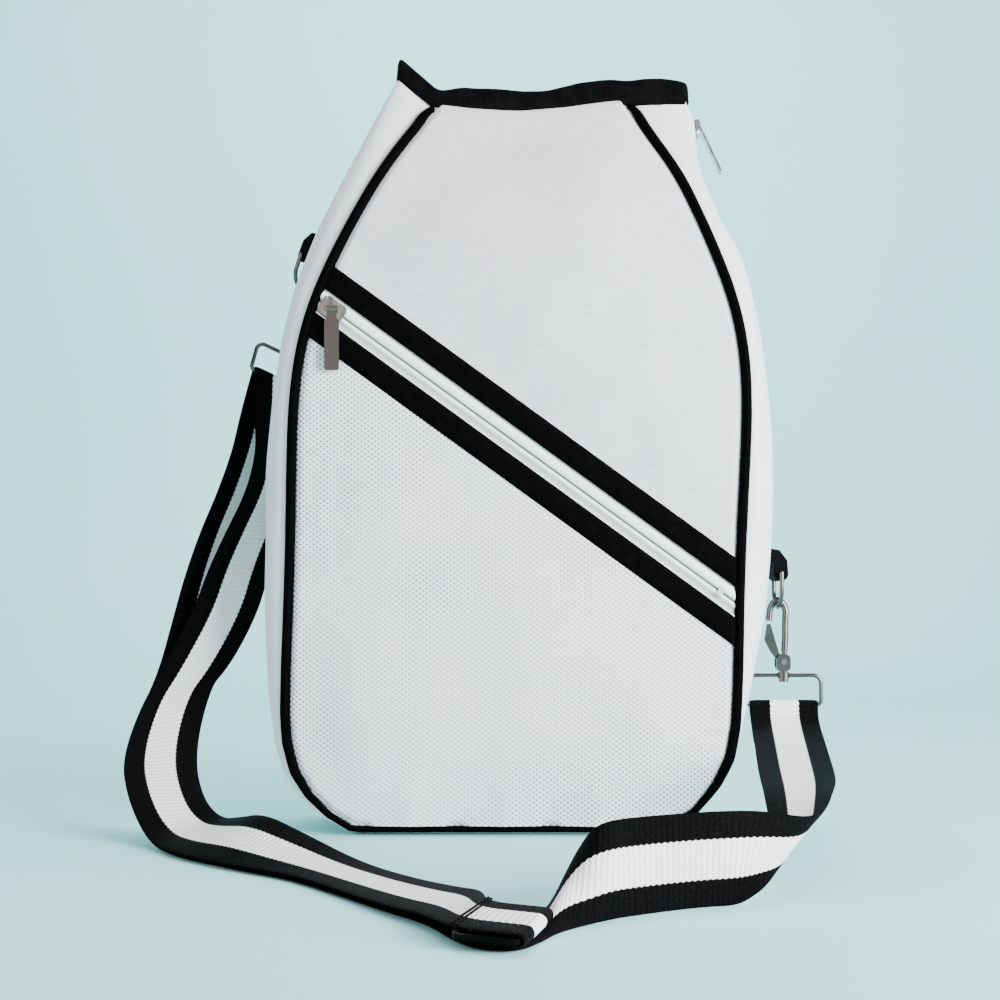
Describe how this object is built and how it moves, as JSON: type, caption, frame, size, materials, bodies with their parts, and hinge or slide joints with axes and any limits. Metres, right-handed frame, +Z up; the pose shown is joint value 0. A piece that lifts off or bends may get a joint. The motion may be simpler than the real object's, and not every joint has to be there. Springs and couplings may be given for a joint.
{
  "type": "paddle case",
  "caption": "Upright sling bag for a paddle: teardrop front with a slanting zipped mesh pocket, puffed gusset with a side zip, snap hooks and a striped webbing strap.",
  "frame": {"origin": "middle of the base, on the surface it stands on", "axes": "+X to the right seen from the front, +Y to the back, +Z up; millimetres in the solids, metres here"},
  "size_m": [0.4031, 0.3496, 0.4388],
  "materials": {
    "white_weave": "fine plain weave",
    "white_mesh": "open knitted mesh",
    "white_gusset": "smooth padded fabric",
    "black_band": "flat grosgrain",
    "zip_white": "coated, glossy",
    "zip_coil": "nylon coil",
    "lining": "thin lining",
    "foam": "foam with a cloth cover",
    "board": "stiff sheet",
    "piping_black": "corded edge",
    "binding_black": "ribbed binding",
    "tab_black": "folded webbing",
    "strap_webbing": "ribbed webbing, black with a white middle stripe",
    "gunmetal": "polished gunmetal plate",
    "rivet_metal": "pressed rivet",
    "spring_steel": "spring wire",
    "slider_metal": "nickel plate",
    "pull_metal": "brown gunmetal plate",
    "black_glide": "black lacquer"
  },
  "bodies": {
    "case": {"front_upper_panel": "white_weave", "front_pocket_panel": "white_mesh", "upper_trim_band": "black_band", "lower_trim_band": "black_band", "front_tape_upper": "zip_white", "front_tape_lower": "zip_white", "front_zip_coil": "zip_coil", "front_zip_stop": "slider_metal", "pocket_lining": "lining", "back_panel": "white_weave", "back_pad": "foam", "gusset_left": "white_gusset", "gusset_base": "white_gusset", "gusset_right_front": "white_gusset", "gusset_right_back": "white_gusset", "side_tape_front": "zip_white", "side_tape_back": "zip_white", "side_zip_coil": "zip_coil", "side_zip_stop": "slider_metal", "base_board": "board", "front_piping": "piping_black", "back_piping": "piping_black", "top_binding": "binding_black", "d_tab_left": "tab_black", "d_tab_right": "tab_black", "ring_left": "gunmetal", "ring_right": "gunmetal", "strap_through": "strap_webbing", "strap_return": "strap_webbing", "tri_glide": "black_glide"},
    "front_slider": {"front_zip_slider": "slider_metal"},
    "front_pull": {"front_pull_tab": "pull_metal"},
    "side_slider": {"side_zip_slider": "slider_metal"},
    "side_pull": {"side_pull_tab": "pull_metal"},
    "d_ring_right": {"d_ring_right": "gunmetal"},
    "hook_right": {"hook_right": "gunmetal", "rivet_right": "rivet_metal", "gate_spring_right": "spring_steel"},
    "gate_right": {"gate_right": "gunmetal"},
    "d_ring_left": {"d_ring_left": "gunmetal"},
    "hook_left": {"hook_left": "gunmetal", "rivet_left": "rivet_metal", "gate_spring_left": "spring_steel"},
    "gate_left": {"gate_left": "gunmetal"}
  },
  "joints": [
    {"name": "front_zip_slide", "type": "slide", "parent": "case", "child": "front_slider", "axis": [0.809, 0, -0.5878], "range_m": [0, 0.25]},
    {"name": "front_pull_flip", "type": "hinge", "parent": "front_slider", "child": "front_pull", "pos_m": [-0.10103, -0.0401, 0.28991], "axis": [-1, 0, 0], "range_deg": [0, 120]},
    {"name": "side_zip_run", "type": "hinge", "parent": "case", "child": "side_slider", "pos_m": [-0.3377, 0, 0.1936], "axis": [0, 1, 0], "range_deg": [0, 39.7]},
    {"name": "side_pull_flip", "type": "hinge", "parent": "side_slider", "child": "side_pull", "pos_m": [0.10468, 0, 0.40455], "axis": [0, -1, 0], "range_deg": [0, 120]},
    {"name": "d_ring_swing_right", "type": "hinge", "parent": "case", "child": "d_ring_right", "pos_m": [0.1559, 0.022, 0.1453], "axis": [0, 1, 0], "range_deg": [-1.2, 1.2]},
    {"name": "hook_swivel_right", "type": "hinge", "parent": "case", "child": "hook_right", "pos_m": [0.1593, 0.022, 0.0854], "axis": [0, 0, 1], "range_deg": [-10, 10]},
    {"name": "gate_open_right", "type": "hinge", "parent": "hook_right", "child": "gate_right", "pos_m": [0.1587, 0.022, 0.0934], "axis": [0, 1, 0], "range_deg": [0, 12], "stiffness_Nm_per_rad": 0.02, "springref_deg": -17.19},
    {"name": "d_ring_swing_left", "type": "hinge", "parent": "case", "child": "d_ring_left", "pos_m": [-0.11909, 0.02516, 0.33327], "axis": [0.5736, 0.8192, 0], "range_deg": [-1.2, 1.2]},
    {"name": "hook_swivel_left", "type": "hinge", "parent": "case", "child": "hook_left", "pos_m": [-0.136, 0.037, 0.277], "axis": [0.1843, -0.129, 0.9744], "range_deg": [-10, 10]},
    {"name": "gate_open_left", "type": "hinge", "parent": "hook_left", "child": "gate_left", "pos_m": [-0.13405, 0.03563, 0.28466], "axis": [-0.5736, -0.8192, 0], "range_deg": [0, 12], "stiffness_Nm_per_rad": 0.02, "springref_deg": -17.19}
  ]
}
